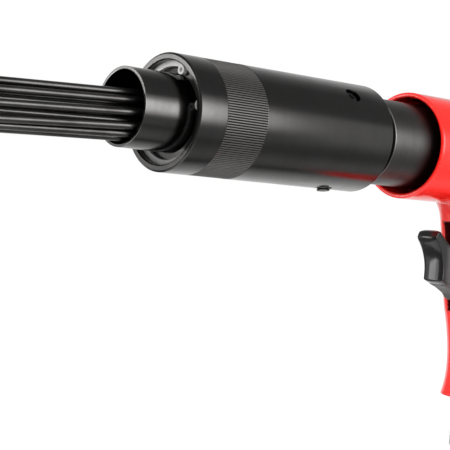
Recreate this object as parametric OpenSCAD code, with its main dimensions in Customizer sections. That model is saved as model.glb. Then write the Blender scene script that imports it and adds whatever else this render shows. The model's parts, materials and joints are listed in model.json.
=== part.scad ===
// Pistol-grip needle scaler: a free-piston air hammer that drives a bundle of loose steel needles.
// Frame: +X towards the needle tips, +Y to the tool's left side, +Z up.
// Origin: centre of the air inlet's mouth, under the grip. All sizes in millimetres.

/* [Body casting] */
// Wall of the exhaust hood
hood_wall = 2.3; // [1.6:0.1:4]
// Width of the open exhaust ring between hood and barrel
exhaust_gap = 2.9; // [1.5:0.1:4]
// Distance from the inlet axis forward to the hood's front face
hood_reach = 67.6; // [62:0.2:80]
// Depth of the open exhaust ring behind the hood's front face
exhaust_depth = 40.6; // [30:0.2:44]
// Distance from the inlet axis back to the rear end of the casting
body_back = 29; // [27:0.5:40]
// Radius round the casting's rear end
body_back_round = 13; // [6:0.5:18]
// Width of the ledge that the barrel's rear end stands on
chamber_ledge = 3.12; // [2:0.02:4]

/* [Grip] */
// Distance from the barrel axis down to the underside of the grip
grip_drop = 119.5; // [112:0.5:140]
// Half width of the grip at its front edge
grip_front_r = 14; // [12:0.5:16]
// Half width of the grip at its back edge
grip_back_r = 15.5; // [13:0.5:18]
// Distance from the barrel axis down to the throttle and trigger line
throttle_drop = 57; // [54:0.5:60]

/* [Barrel] */
// Diameter of the cylinder that the piston runs in
barrel_bore = 25; // [20:0.5:30]
// Length of barrel that shows between the hood and the needle housing
neck_show = 33.2; // [20:0.2:60]
// Length of barrel inside the needle housing
barrel_entry = 26.2; // [23:0.2:30]
// Length of barrel behind the hood's front face
barrel_seat = 62.6; // [58:0.2:66]
// Length of the barrel's closed nose that guides the anvil
nose_len = 36; // [30:0.5:44]
// Length of the piston
piston_len = 42; // [30:0.5:50]
// Travel of the piston
piston_travel = 30; // [20:0.5:31]
// Diameter of the anvil's shank
anvil_shank_d = 17.9; // [14:0.1:20]
// Thickness of the anvil's head
anvil_head = 9; // [7:0.5:10]
// Length of anvil shank that stands in the cylinder
anvil_reach = 6; // [5:0.5:8]
// Travel of the anvil and the needle holder together
anvil_travel = 5; // [3:0.5:5]

/* [Needle housing] */
// Wall of the needle housing
house_wall = 3; // [2.5:0.1:5]
// Step between the housing's bore and the barrel in its rear end
house_step = 1.35; // [0.5:0.05:2]
// Room for the return spring and the circlip between front tube and housing
spring_room = 5.15; // [4.9:0.05:7]
// Length of the needle housing
house_len = 110.2; // [105:0.2:140]
// Distance from the housing's front end to the knurled band
knurl_start = 13.9; // [8:0.1:20]
// Length of the knurled band
knurl_len = 21.7; // [10:0.1:30]
// Number of knurl teeth round the band
knurl_teeth = 144; // [48:4:160]
// Depth of the knurl
knurl_depth = 0.5; // [0.3:0.05:0.8]
// Distance from the housing's rear end to the set screws
screw_back = 19.6; // [10:0.1:20]
// Thread diameter of the set screws
screw_d = 6; // [4:0.5:6]
// Depth of the circlip's front face below the housing's front end
clip_depth = 3.3; // [2:0.1:5]
// Thickness of the circlip
clip_t = 1.75; // [1.2:0.05:2]

/* [Needles] */
// Diameter of a needle
needle_d = 3; // [2:0.1:4]
// Length of a needle
needle_len = 180; // [150:1:220]
// How far a needle's upset head stands out all round
needle_flare = 0.6; // [0.5:0.05:1]
// Length of a needle's upset head
needle_head = 3; // [2:0.1:4]
// Travel of one needle in the holder
needle_travel = 3; // [1:0.1:3.5]
// Number of needles in the inner ring
inner_needles = 6; // [4:1:6]
// Number of needles in the outer ring
outer_needles = 12; // [8:1:12]
// Gap between neighbouring needle heads
head_gap = 0.45; // [0.35:0.05:1]
// Room between the outer needles and the front tube's bore
bundle_room = 3.85; // [2:0.05:5]
// Part of that room that is left below when the bundle leans down in its loose holes
droop_gap = 0.48; // [0.45:0.01:2]
// Angle that single needles differ from the bundle
needle_scatter = 0.3; // [0:0.05:0.4]
// Thickness of the needle holder's plate
holder_t = 9; // [7:0.5:10]

/* [Front tube] */
// Wall of the front tube
tube_wall = 1.2; // [1:0.1:2.5]
// Length of tube that shows ahead of the housing
tube_show = 20.5; // [17:0.5:40]
// Room left between tube and needle holder when both are at the end of their travel
tail_room = 12.9; // [4:0.1:20]
// Thickness of the tube's flange
flange_t = 4.8; // [3:0.1:6]
// Travel of the tube into the housing
tube_travel = 16; // [8:0.5:16]
// Wire diameter of the return spring
spring_wire = 2.6; // [1.5:0.1:2.8]
// Number of turns of the return spring
spring_turns = 6; // [4:0.5:7]

/* [Trigger and throttle] */
// Width of the trigger
trigger_w = 12; // [10:0.5:14]
// Travel of the trigger
trigger_travel = 5; // [3:0.5:5]
// Diameter of the trigger's cross pin
pin_d = 3; // [2:0.5:3]
// Diameter of the throttle stem
stem_d = 5; // [4:0.1:5]
// Diameter of the throttle ball
ball_d = 8; // [7.5:0.1:8.4]

/* [Air inlet] */
// Core diameter of the inlet's female thread
inlet_d = 11.445; // [8.5:0.005:12]
// Size across the flats of the inlet collar
collar_af = 22; // [21:0.5:27]
// Length of the inlet collar
collar_len = 14; // [10:0.5:20]
// Diameter of the inlet bushing's neck
inlet_neck_d = 21; // [20:0.5:24]
// Length of the inlet bushing's neck
inlet_neck = 9.5; // [4:0.5:16]
// Thickness of the sealing washer under the grip
washer_t = 1.5; // [1:0.1:3]

/* [Fits] */
// Clearance all round a sliding fit
run_gap = 0.05; // [0.02:0.01:0.08]
// Clearance all round a seated part
seat_gap = 0.03; // [0.01:0.01:0.05]
// Gap between stacked parts that move apart
stack_gap = 0.3; // [0.2:0.05:0.5]

/* [Hidden] */
round_fn = 96;
hull_fn = 32;
cut = 1;

// Places along the barrel axis
axis_h = collar_len + inlet_neck + washer_t + grip_drop;
hood_front = hood_reach;
house_rear = hood_front + neck_show;
house_front = house_rear + house_len;
tube_mouth = house_front + tube_show;
barrel_rear = hood_front - barrel_seat;
barrel_front = house_rear + barrel_entry;
exhaust_step = hood_front - exhaust_depth;
nose_rear = barrel_front - nose_len;

// Radii round the barrel axis, from the needles outwards
needle_r = needle_d / 2;
head_r = needle_r + needle_flare;
inner_ring_r = 2 * head_r + head_gap;
outer_ring_r = 2 * inner_ring_r;
tube_ir = outer_ring_r + needle_r + bundle_room;
tube_r = tube_ir + tube_wall;
house_ir = tube_r + spring_room;
house_r = house_ir + house_wall;
barrel_r = house_ir - house_step;
hood_ir = barrel_r + exhaust_gap;
hood_r = hood_ir + hood_wall;
lip_r = hood_wall / 2;
bore_r = barrel_bore / 2;
chamber_r = barrel_r - chamber_ledge;
shank_r = anvil_shank_d / 2;

// Anvil, needle heads and needle holder, stacked ahead of the barrel
anvil_rear = barrel_front + stack_gap;
anvil_face = anvil_rear + anvil_head;
skirt_rear = anvil_face + stack_gap;
skirt_len = needle_head + needle_travel + 2 * stack_gap;
skirt_wall = 3.2;
plate_rear = skirt_rear + skirt_len;
plate_front = plate_rear + holder_t;
plate_mid = (plate_rear + plate_front) / 2;
guide_gap = 0.08;

// Lean of the bundle, what each outer needle adds to it, and the loose holes that let the needles lean so far
needle_droop = atan((bundle_room - droop_gap) / (tube_mouth - plate_mid));
outer_lean = [0.58, 0.32, 0.13, 0.16, -0.15, -0.3, -0.2, 0, 0, -0.15, 0.26, 0.89];
steepest = needle_droop + max(needle_scatter, max(outer_lean));
hole_r = needle_r + holder_t / 2 * tan(steepest) + guide_gap;

// Front tube, its circlip and the return spring between tube and holder
clip_front = house_front - clip_depth;
clip_rear = clip_front - clip_t;
clip_groove = 1.25;
clip_slack = 0.05;
clip_width = 3.4;
clip_lug_r = 1.9;
clip_eye_r = 0.95;
clip_lug_gap = 0.35;
clip_lug_at = tube_r + clip_lug_gap + clip_lug_r;
clip_lug_angles = [9, 71];
flange_front = clip_rear - clip_slack;
flange_rear = flange_front - flange_t;
tube_rear = plate_front + anvil_travel + tube_travel + tail_room;
spring_gap = 0.5;
spring_r = house_ir - spring_gap - spring_wire / 2;

// Knurl: radius of the teeth's tips, and of the plain core that carries the teeth
knurl_sunk = 0.05;
knurl_overlap = 0.3;
knurl_tip = house_r - knurl_sunk;
knurl_root = knurl_tip - knurl_depth - knurl_overlap;

// Set screws: angle round the axis from +Y towards +Z, and height above the housing's surface
screw_x = house_rear + screw_back;
screw_places = [[45, -0.5], [160, -0.5], [276, 1.2]];
screw_chamfer = 0.8;
screw_groove = 2.2;
screw_tip_gap = 0.2;
screw_tip = barrel_r - screw_groove + screw_tip_gap;

// Valve set behind the barrel
valve_gap = 0.1;
valve_len = 20;
chamber_rear = barrel_rear - valve_len;
seat_t = 9;
seat_front = chamber_rear + valve_gap + seat_t;
cap_front = barrel_rear - valve_gap;
disc_r = chamber_r - 4.5;
disc_t = 1.4;
disc_travel = 1;
disc_gap = 0.3;
disc_recess = disc_t + disc_travel + valve_gap + disc_gap;
valve_port_r = 1.6;
valve_port_at = 8;
valve_pin_r = 1.25;
valve_pin_at = chamber_r - 2.1;
valve_pin_len = 12;

// Grip sections from top to bottom: [depth below the barrel axis, front x, back x]
grip_sections = [
    [8, 38, -20], [36, 28.2, -19.5], [74, 21.8, -23.5], [84, 17.8, -24.5],
    [106, 15.2, -28], [grip_drop, 19.5, -29.5]];
section_t = 0.2;

// Trigger slot, cross pin and throttle, along X at the throttle line
throttle_z = axis_h - throttle_drop;
slot_gap = 0.4;
slot_top = throttle_z + 23;
slot_bottom = throttle_z - 20;
slot_rear = 8;
neck_rear = slot_rear + trigger_travel + 1.5;
pin_x = neck_rear + 3;
pin_drop = throttle_drop + 8;
pin_z = axis_h - pin_drop;
pin_sunk = 0.4;
pin_ahead = pin_x + grip_front_r - lookup(pin_drop, [for (s = grip_sections) [s[0], s[1]]]);
pin_len = 2 * (sqrt(pow(grip_front_r, 2) - pow(pin_ahead, 2)) - pin_sunk);
pin_slot_gap = 0.25;
bushing_r = 7;
bushing_rear = -2;
stem_r = stem_d / 2;
stem_neck_r = 1.6;
ball_r = ball_d / 2;
ball_lift = 0.1;
ball_x = bushing_rear - sqrt(ball_r * ball_r - pow(stem_r + run_gap, 2)) - ball_lift;
push_gap = 0.2;
stem_front = neck_rear - push_gap;
stem_rear = ball_x + ball_r + push_gap;
stem_neck_len = 6.4;
stem_step = stem_rear + stem_neck_len;
throttle_bore_r = 5.5;
throttle_end = -18.5;
throttle_wire = 0.8;
throttle_turns = 4;
throttle_spring_r = 3.2;
ring_r = 0.9;
ring_gap = 0.1;
ring_x = slot_rear - 2.6;
stem_port_r = 1.2;
stem_port_x = 0;

// Air passages in the casting
inlet_pass_r = 5.5;
inlet_pass_top = throttle_z - 14;
feed_x = -8.5;
feed_r = 3.4;
outlet_r = 2.4;

// Air inlet bushing and what it holds
collar_top = collar_len;
neck_top = collar_top + inlet_neck;
grip_base = neck_top + washer_t;
plug_r = 9.5;
plug_len = 12;
inlet_thread_len = 13;
inlet_web = 2;
screen_r = 6.2;
screen_or = screen_r - 1;
screen_wall = 0.6;
screen_len = grip_base + plug_len - inlet_thread_len - inlet_web + 2;
collar_chamfer = 1.2;

// Angle of each needle's place round the holder, counted from +Y towards +Z
ring_turn = 9;
inner_turn = 24;
needle_count = 1 + inner_needles + outer_needles;
needle_tail = skirt_rear;

function needle_name(i) = str("needle_", i < 10 ? "0" : "", i);
function on_circle(r, a) = [r * cos(a), r * sin(a)];
function needle_place(i) =
    i == 1 ? [0, 0]
    : i <= 1 + inner_needles ? on_circle(inner_ring_r, inner_turn + (i - 2) * 360 / inner_needles)
    : on_circle(outer_ring_r, ring_turn + (i - 2 - inner_needles) * 360 / outer_needles);
function needle_pitch(i) = needle_droop
    + (i > 1 + inner_needles ? outer_lean[i - 2 - inner_needles] : needle_scatter * cos(222.5 * i));
function needle_yaw(i) = 0.6 * needle_scatter * sin(137.5 * i);

// Points of an arc, as [x, r] pairs
function arc(c, r, a0, a1, n = 6) =
    [for (k = [0:n]) [c[0] + r * cos(a0 + (a1 - a0) * k / n), c[1] + r * sin(a0 + (a1 - a0) * k / n)]];

// Points along a helix round +X: [x, y, z]
function helix(x0, x1, r, turns, steps) =
    [for (k = [0:steps]) [x0 + (x1 - x0) * k / steps,
                          r * cos(360 * turns * k / steps), r * sin(360 * turns * k / steps)]];
function unit(v) = v / norm(v);
coil_sides = 6;
coil_rings = 8;
function coil_ring(path, k, r) =
    let (n = len(path),
         t = unit(path[min(k + 1, n - 1)] - path[max(k - 1, 0)]),
         out = unit([0, path[k][1], path[k][2]]),
         side = cross(t, out))
    [for (s = [0:coil_sides - 1]) path[k] + r * (cos(360 * s / coil_sides) * out
                                                 + sin(360 * s / coil_sides) * side)];

// A solid of revolution about an axis along X at height z, from [x, r] points
module turned(points, z = axis_h) {
    translate([0, 0, z]) rotate([0, 90, 0])
        rotate_extrude($fn = round_fn) polygon([for (p = points) [p[1], p[0]]]);
}

// A cylinder along X at height z
module rod(x0, x1, r, z = axis_h) {
    translate([x0, 0, z]) rotate([0, 90, 0]) cylinder(r = r, h = x1 - x0, $fn = round_fn);
}

// Puts a shape that points along +Z on the barrel axis at x, pointing out at an angle from +Y towards +Z
module spoke(x, angle) {
    translate([x, 0, axis_h]) rotate([angle, 0, 0]) rotate([-90, 0, 0]) children();
}

// One round wire wound along X at height z
module coil(x0, x1, r, wire, turns, z) {
    steps = ceil(turns * coil_rings);
    path = helix(x0, x1, r, turns, steps);
    points = [for (k = [0:steps]) each coil_ring(path, k, wire / 2)];
    side_faces = [for (k = [0:steps - 1]) for (s = [0:coil_sides - 1])
        let (a = k * coil_sides + s, b = k * coil_sides + (s + 1) % coil_sides)
        each [[a, b, b + coil_sides], [a, b + coil_sides, a + coil_sides]]];
    cap_faces = [for (s = [1:coil_sides - 2]) each [
        [0, s + 1, s],
        [steps * coil_sides, steps * coil_sides + s, steps * coil_sides + s + 1]]];
    pitch = abs(x1 - x0) / turns;
    echo(least_gap_between_turns = pitch - wire);
    translate([0, 0, z]) polyhedron(points, concat(side_faces, cap_faces));
}

module grip_section(s) {
    z = axis_h - s[0];
    translate([s[1] - grip_front_r, 0, z]) cylinder(r = grip_front_r, h = section_t, $fn = hull_fn);
    translate([s[2] + grip_back_r, 0, z]) cylinder(r = grip_back_r, h = section_t, $fn = hull_fn);
}

module grip() {
    for (k = [0:len(grip_sections) - 2])
        hull() {
            grip_section(grip_sections[k]);
            grip_section(grip_sections[k + 1]);
        }
}

// Body and grip in one die casting, with an open exhaust hood round the barrel
module body_casting() {
    color("red") difference() {
        union() {
            turned(concat(
                [[-body_back, 0]],
                arc([-body_back + body_back_round, hood_r - body_back_round], body_back_round, 180, 90),
                arc([hood_front - lip_r, hood_ir + lip_r], lip_r, 90, -90),
                [[hood_front - lip_r, 0]]));
            grip();
        }
        rod(exhaust_step, hood_front + cut, hood_ir);
        rod(barrel_rear, hood_front, barrel_r + seat_gap);
        rod(chamber_rear, hood_front, chamber_r + seat_gap);
        translate([slot_rear, -trigger_w / 2 - slot_gap, slot_bottom])
            cube([hood_front - slot_rear, trigger_w + 2 * slot_gap, slot_top - slot_bottom]);
        rod(bushing_rear, slot_rear + cut, bushing_r + seat_gap, throttle_z);
        rod(throttle_end, slot_rear, throttle_bore_r, throttle_z);
        translate([feed_x, 0, inlet_pass_top - feed_r])
            cylinder(r = feed_r, h = throttle_z - inlet_pass_top, $fn = round_fn);
        translate([0, 0, grip_base - cut])
            cylinder(r = inlet_pass_r, h = inlet_pass_top - grip_base + cut, $fn = round_fn);
        translate([0, 0, grip_base - cut])
            cylinder(r = plug_r + seat_gap, h = plug_len + cut, $fn = round_fn);
        translate([stem_port_x, 0, throttle_z])
            cylinder(r = outlet_r, h = throttle_drop - chamber_r + cut, $fn = round_fn);
        translate([pin_x, 0, pin_z]) rotate([90, 0, 0])
            cylinder(d = pin_d + 2 * seat_gap, h = 4 * grip_back_r, center = true, $fn = round_fn);
    }
}

// Cylinder of the hammer, seated in the body, with a nose that guides the anvil
module barrel() {
    edge = 1;
    port_r = 2.5;
    port_x = exhaust_step + 20;
    color([0.12, 0.12, 0.13]) difference() {
        turned([
            [barrel_rear, bore_r], [barrel_rear, barrel_r - edge], [barrel_rear + edge, barrel_r],
            [screw_x - screw_d / 2 - 1, barrel_r], [screw_x - screw_d / 2, barrel_r - screw_groove],
            [screw_x + screw_d / 2, barrel_r - screw_groove], [screw_x + screw_d / 2 + 1, barrel_r],
            [barrel_front - edge, barrel_r], [barrel_front, barrel_r - edge],
            [barrel_front, shank_r + run_gap], [nose_rear, shank_r + run_gap], [nose_rear, bore_r]]);
        for (a = [45:90:315])
            spoke(port_x, a) cylinder(r = port_r, h = 2 * barrel_r, $fn = round_fn);
    }
}

// Rear plate of the valve set
module valve_seat() {
    color("silver") difference() {
        rod(chamber_rear + valve_gap, seat_front, chamber_r);
        for (a = [0:60:300])
            spoke(0, a) translate([0, 0, valve_port_at]) rotate([0, 90, 0])
                translate([0, 0, chamber_rear]) cylinder(r = valve_port_r, h = seat_t + cut, $fn = round_fn);
        valve_pin_holes();
    }
}

// Loose plate that flips the air from one side of the piston to the other
module valve_disc() {
    color("lightgray") rod(seat_front + valve_gap, seat_front + valve_gap + disc_t, disc_r);
}

// Front plate of the valve set, with the recess for the loose plate
module valve_cap() {
    groove = 3.4;
    groove_depth = 2;
    groove_x = cap_front - 3;
    color("silver") difference() {
        turned([
            [seat_front, 0], [seat_front, chamber_r], [groove_x - groove, chamber_r],
            [groove_x - groove, chamber_r - groove_depth], [groove_x, chamber_r - groove_depth],
            [groove_x, chamber_r], [cap_front, chamber_r], [cap_front, 0]]);
        rod(seat_front - cut, seat_front + disc_recess, disc_r + disc_gap);
        for (a = [30:60:330])
            spoke(0, a) translate([0, 0, valve_port_at]) rotate([0, 90, 0])
                translate([0, 0, seat_front]) cylinder(r = valve_port_r, h = cap_front - seat_front + cut,
                                                       $fn = round_fn);
        valve_pin_holes();
    }
}

module valve_pin(r, slack) {
    for (a = [0, 180])
        spoke(0, a) translate([0, 0, valve_pin_at]) rotate([0, 90, 0])
            translate([0, 0, seat_front - valve_pin_len / 2 - slack])
                cylinder(r = r, h = valve_pin_len + 2 * slack, $fn = round_fn);
}

module valve_pin_holes() {
    valve_pin(valve_pin_r + seat_gap, 0.2);
}

// Two dowels that line up the valve plates
module valve_pins() {
    color("gray") valve_pin(valve_pin_r, 0);
}

// Free piston that strikes the anvil
module piston() {
    r = bore_r - run_gap;
    front = nose_rear - anvil_reach - piston_travel - stack_gap;
    rear = front - piston_len;
    edge = 1.5;
    groove = 0.5;
    color("gainsboro") turned([
        [rear, 0], [rear, r - edge], [rear + edge, r],
        [rear + piston_len / 3, r], [rear + piston_len / 3 + groove, r - groove],
        [rear + piston_len / 3 + 2 * groove, r],
        [front - piston_len / 3 - 2 * groove, r], [front - piston_len / 3 - groove, r - groove],
        [front - piston_len / 3, r],
        [front - edge, r], [front, r - edge], [front, 0]]);
}

// Anvil: takes the piston's blow on its shank and passes it to the needle heads
module anvil() {
    r = house_ir - stack_gap;
    edge = 1;
    tail = nose_rear - anvil_reach;
    color("darkgray") turned([
        [tail, 0], [tail, shank_r - edge], [tail + edge, shank_r], [anvil_rear, shank_r],
        [anvil_rear, r - edge], [anvil_rear + edge, r], [anvil_face - edge, r],
        [anvil_face, r - edge], [anvil_face, 0]]);
}

// Straight knurl: a ring of teeth along X
module knurl_band() {
    x0 = house_front - knurl_start - knurl_len;
    translate([x0, 0, axis_h]) rotate([0, 90, 0]) linear_extrude(height = knurl_len)
        difference() {
            polygon([for (k = [0:2 * knurl_teeth - 1])
                on_circle(knurl_tip - (k % 2) * knurl_depth, 180 * k / knurl_teeth)]);
            circle(r = knurl_root - knurl_overlap, $fn = round_fn);
        }
}

// Needle housing: the long outer sleeve, clamped on the barrel by three set screws
module needle_housing() {
    edge = 0.8;
    knurl_front = house_front - knurl_start;
    knurl_rear = knurl_front - knurl_len;
    seat_r = barrel_r + seat_gap;
    groove_r = house_ir + clip_groove;
    color([0.1, 0.1, 0.1]) difference() {
        union() {
            turned([
                [house_rear, seat_r], [house_rear, house_r - edge], [house_rear + edge, house_r],
                [knurl_rear, house_r], [knurl_rear, knurl_root], [knurl_front, knurl_root],
                [knurl_front, house_r],
                [house_front - edge, house_r], [house_front, house_r - edge],
                [house_front, house_ir + edge / 2], [house_front - edge / 2, house_ir],
                [clip_front + clip_slack, house_ir], [clip_front + clip_slack, groove_r],
                [clip_rear - clip_slack, groove_r], [clip_rear - clip_slack, house_ir],
                [barrel_front, house_ir], [barrel_front, seat_r]]);
            knurl_band();
        }
        for (s = screw_places)
            spoke(screw_x, s[0]) {
                cylinder(d = screw_d + 2 * seat_gap, h = house_r + cut, $fn = round_fn);
                translate([0, 0, house_r - screw_chamfer])
                    cylinder(d1 = screw_d, d2 = screw_d + 4 * screw_chamfer, h = 2 * screw_chamfer,
                             $fn = round_fn);
            }
    }
}

// Three socket set screws that lock the housing in the barrel's groove
module set_screws() {
    socket_r = screw_d * 0.29;
    socket_depth = screw_d * 0.5;
    color("black") for (s = screw_places) {
        top = house_r + s[1];
        spoke(screw_x, s[0]) difference() {
            translate([0, 0, screw_tip]) cylinder(d = screw_d, h = top - screw_tip, $fn = round_fn);
            translate([0, 0, top - socket_depth]) cylinder(r = socket_r, h = socket_depth + cut, $fn = 6);
        }
    }
}

// Needle holder: a plate with one loose hole for each needle, and a skirt round the needle heads
module needle_holder() {
    r = house_ir - guide_gap;
    edge = 0.6;
    color("dimgray") difference() {
        turned([
            [skirt_rear, r - skirt_wall], [skirt_rear, r - edge], [skirt_rear + edge, r],
            [plate_front - edge, r], [plate_front, r - edge], [plate_front, 0],
            [plate_rear, 0], [plate_rear, r - skirt_wall]]);
        for (i = [1:needle_count]) {
            p = needle_place(i);
            translate([plate_rear - cut, p[0], axis_h + p[1]]) rotate([0, 90, 0])
                cylinder(r = hole_r, h = holder_t + 2 * cut, $fn = round_fn);
        }
    }
}

// One needle: a long rod with an upset head, leaning a little in its loose hole
module needle(i) {
    p = needle_place(i);
    back = plate_mid - needle_tail;
    edge = 0.4;
    color([0.2, 0.2, 0.22])
        translate([plate_mid, p[0], axis_h + p[1]]) rotate([0, 90 + needle_pitch(i), needle_yaw(i)])
            translate([0, 0, -back]) rotate_extrude($fn = round_fn) polygon([
                [0, 0], [head_r - edge, 0], [head_r, edge],
                [head_r, needle_head - edge], [needle_r, needle_head],
                [needle_r, needle_len - edge], [needle_r - edge, needle_len], [0, needle_len]]);
}

// Return spring between the needle holder and the front tube's flange
module return_spring() {
    end_gap = spring_wire / 2 + push_gap;
    color("slategray") coil(plate_front + end_gap, flange_rear - end_gap, spring_r, spring_wire,
                            spring_turns, axis_h);
}

// Front tube: guides the needles, and slides back into the housing against the return spring
module front_tube() {
    r = tube_r;
    ir = tube_ir;
    edge = 0.3;
    flange_r = house_ir - guide_gap;
    color([0.08, 0.08, 0.08]) turned([
        [tube_rear, ir], [tube_rear, r], [flange_rear, r], [flange_rear, flange_r],
        [flange_front, flange_r], [flange_front, r], [tube_mouth - edge, r], [tube_mouth, r - edge],
        [tube_mouth, ir + edge], [tube_mouth - edge, ir]]);
}

// Internal circlip that keeps the front tube in the housing, with a lug and eye at each end
module front_circlip() {
    r = house_ir + clip_groove - clip_slack;
    gap_mid = (clip_lug_angles[0] + clip_lug_angles[1]) / 2;
    gap_half = (clip_lug_angles[1] - clip_lug_angles[0]) / 2;
    reach = 2 * r;
    color("gray") difference() {
        union() {
            difference() {
                rod(clip_rear, clip_front, r);
                rod(clip_rear - cut, clip_front + cut, r - clip_width);
                translate([clip_rear - cut, 0, axis_h]) rotate([90, 0, 90])
                    linear_extrude(height = clip_t + 2 * cut) polygon([
                        [0, 0], reach * on_circle(1, gap_mid - gap_half),
                        2 * reach * on_circle(1, gap_mid), reach * on_circle(1, gap_mid + gap_half)]);
            }
            for (a = clip_lug_angles) {
                p = on_circle(clip_lug_at, a);
                translate([clip_rear, p[0], axis_h + p[1]]) rotate([0, 90, 0])
                    cylinder(r = clip_lug_r, h = clip_t, $fn = round_fn);
            }
        }
        for (a = clip_lug_angles) {
            p = on_circle(clip_lug_at, a);
            translate([clip_rear - cut, p[0], axis_h + p[1]]) rotate([0, 90, 0])
                cylinder(r = clip_eye_r, h = clip_t + 2 * cut, $fn = round_fn);
        }
    }
}

// Trigger: a finger saddle on a block that slides in the grip's slot
module trigger() {
    // Side outline as [x, height over the throttle line]: block, horn, finger saddle, lower lip, web
    saddle = arc([60.5, 2.6], 21.6, 144, 192, 8);
    profile = concat(
        [[neck_rear, 14], [29, 14], [33, 18.6], [43, 19], [45.2, 18.1], [45.9, 16.6]],
        saddle,
        [[38.8, -5], [37.6, -6.2], [35.5, -7.5], [29.5, -9.3], [23, -14], [neck_rear, -15]]);
    color([0.12, 0.12, 0.12]) difference() {
        translate([0, 0, throttle_z]) rotate([90, 0, 0])
            linear_extrude(height = trigger_w, center = true) polygon(profile);
        for (x = [pin_x, pin_x + trigger_travel])
            translate([x, 0, pin_z]) rotate([90, 0, 0])
                cylinder(d = pin_d + 2 * pin_slot_gap, h = trigger_w + 2 * cut, center = true,
                         $fn = round_fn);
        translate([pin_x, -trigger_w / 2 - cut, pin_z - pin_d / 2 - pin_slot_gap])
            cube([trigger_travel, trigger_w + 2 * cut, pin_d + 2 * pin_slot_gap]);
    }
}

// Cross pin that keeps the trigger in its slot
module trigger_pin() {
    color("gray") translate([pin_x, 0, pin_z]) rotate([90, 0, 0])
        cylinder(d = pin_d, h = pin_len, center = true, $fn = round_fn);
}

// Throttle bushing: guides the stem, and its rear edge is the ball's seat
module throttle_bushing() {
    groove_x0 = stem_port_x - 1.6;
    groove_x1 = stem_port_x + 2.4;
    groove_r = bushing_r - 1.6;
    front = slot_rear - push_gap;
    color("goldenrod") difference() {
        turned([
            [bushing_rear, stem_r + run_gap], [bushing_rear, bushing_r], [groove_x0, bushing_r],
            [groove_x0, groove_r], [groove_x1, groove_r], [groove_x1, bushing_r], [front, bushing_r],
            [front, stem_r + run_gap], [ring_x + ring_r + ring_gap, stem_r + run_gap],
            [ring_x + ring_r + ring_gap, stem_r + 2 * ring_r + ring_gap],
            [ring_x - ring_r - ring_gap, stem_r + 2 * ring_r + ring_gap],
            [ring_x - ring_r - ring_gap, stem_r + run_gap]], throttle_z);
        for (a = [0:90:270])
            translate([stem_port_x, 0, throttle_z]) rotate([a, 0, 0])
                cylinder(r = stem_port_r, h = bushing_r, $fn = round_fn);
    }
}

// Push stem between the trigger and the ball
module throttle_stem() {
    edge = 0.3;
    color("silver") turned([
        [stem_rear, 0], [stem_rear, stem_neck_r], [stem_step, stem_neck_r], [stem_step + edge, stem_r],
        [stem_front - edge, stem_r], [stem_front, stem_r - edge], [stem_front, 0]], throttle_z);
}

// Rubber ring that seals the stem in its bushing
module stem_seal() {
    color([0.1, 0.1, 0.1]) translate([ring_x, 0, throttle_z]) rotate([0, 90, 0])
        rotate_extrude($fn = round_fn) translate([stem_r + run_gap + ring_r, 0])
            circle(r = ring_r - seat_gap, $fn = hull_fn);
}

// Steel ball that shuts the air off
module throttle_ball() {
    color("silver") translate([ball_x, 0, throttle_z]) sphere(r = ball_r, $fn = round_fn);
}

// Spring that presses the ball on its seat
module throttle_spring() {
    ball_back = sqrt(ball_r * ball_r - pow(throttle_spring_r - throttle_wire, 2));
    end_gap = throttle_wire / 2 + push_gap;
    color("slategray") coil(throttle_end + end_gap, ball_x - ball_back - end_gap, throttle_spring_r,
                            throttle_wire, throttle_turns, throttle_z);
}

// Air inlet bushing: screwed into the grip, with a hexagon collar and a female pipe thread
module inlet_bushing() {
    top = grip_base + plug_len - 0.2;
    collar_r = collar_af / 2 / cos(30);
    color("gainsboro") difference() {
        union() {
            intersection() {
                cylinder(r = collar_r, h = collar_len, $fn = 6);
                rotate_extrude($fn = round_fn) polygon([
                    [0, 0], [collar_r - collar_chamfer, 0], [collar_r, collar_chamfer],
                    [collar_r, collar_len - collar_chamfer], [collar_r - collar_chamfer, collar_len],
                    [0, collar_len]]);
            }
            cylinder(d = inlet_neck_d, h = neck_top, $fn = round_fn);
            cylinder(r = plug_r, h = top, $fn = round_fn);
        }
        translate([0, 0, -cut]) cylinder(d = inlet_d, h = inlet_thread_len + cut, $fn = round_fn);
        cylinder(r = screen_r - 2, h = top + cut, $fn = round_fn);
        translate([0, 0, inlet_thread_len + inlet_web])
            cylinder(r = screen_r + seat_gap, h = top, $fn = round_fn);
    }
}

// Sealing washer between the grip and the inlet bushing's shoulder
module inlet_washer() {
    color("darkslategray") translate([0, 0, neck_top]) difference() {
        cylinder(d = inlet_neck_d - 0.4, h = washer_t, $fn = round_fn);
        translate([0, 0, -cut]) cylinder(r = plug_r + 0.1, h = washer_t + 2 * cut, $fn = round_fn);
    }
}

// Strainer cup in the inlet bushing
module inlet_screen() {
    foot = inlet_thread_len + inlet_web;
    color("goldenrod") translate([0, 0, foot]) difference() {
        cylinder(r = screen_or, h = screen_len, $fn = round_fn);
        translate([0, 0, -cut])
            cylinder(r = screen_or - screen_wall, h = screen_len - screen_wall + cut, $fn = round_fn);
    }
}

body_casting();
barrel();
valve_seat();
valve_disc();
valve_cap();
valve_pins();
piston();
anvil();
needle_housing();
set_screws();
needle_holder();
return_spring();
front_tube();
front_circlip();
trigger();
trigger_pin();
throttle_bushing();
throttle_stem();
stem_seal();
throttle_ball();
throttle_spring();
inlet_bushing();
inlet_washer();
inlet_screen();
for (i = [1:needle_count])
    needle(i);
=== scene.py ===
import json
import math

import bmesh
import bpy
from mathutils import Matrix, Vector


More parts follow.
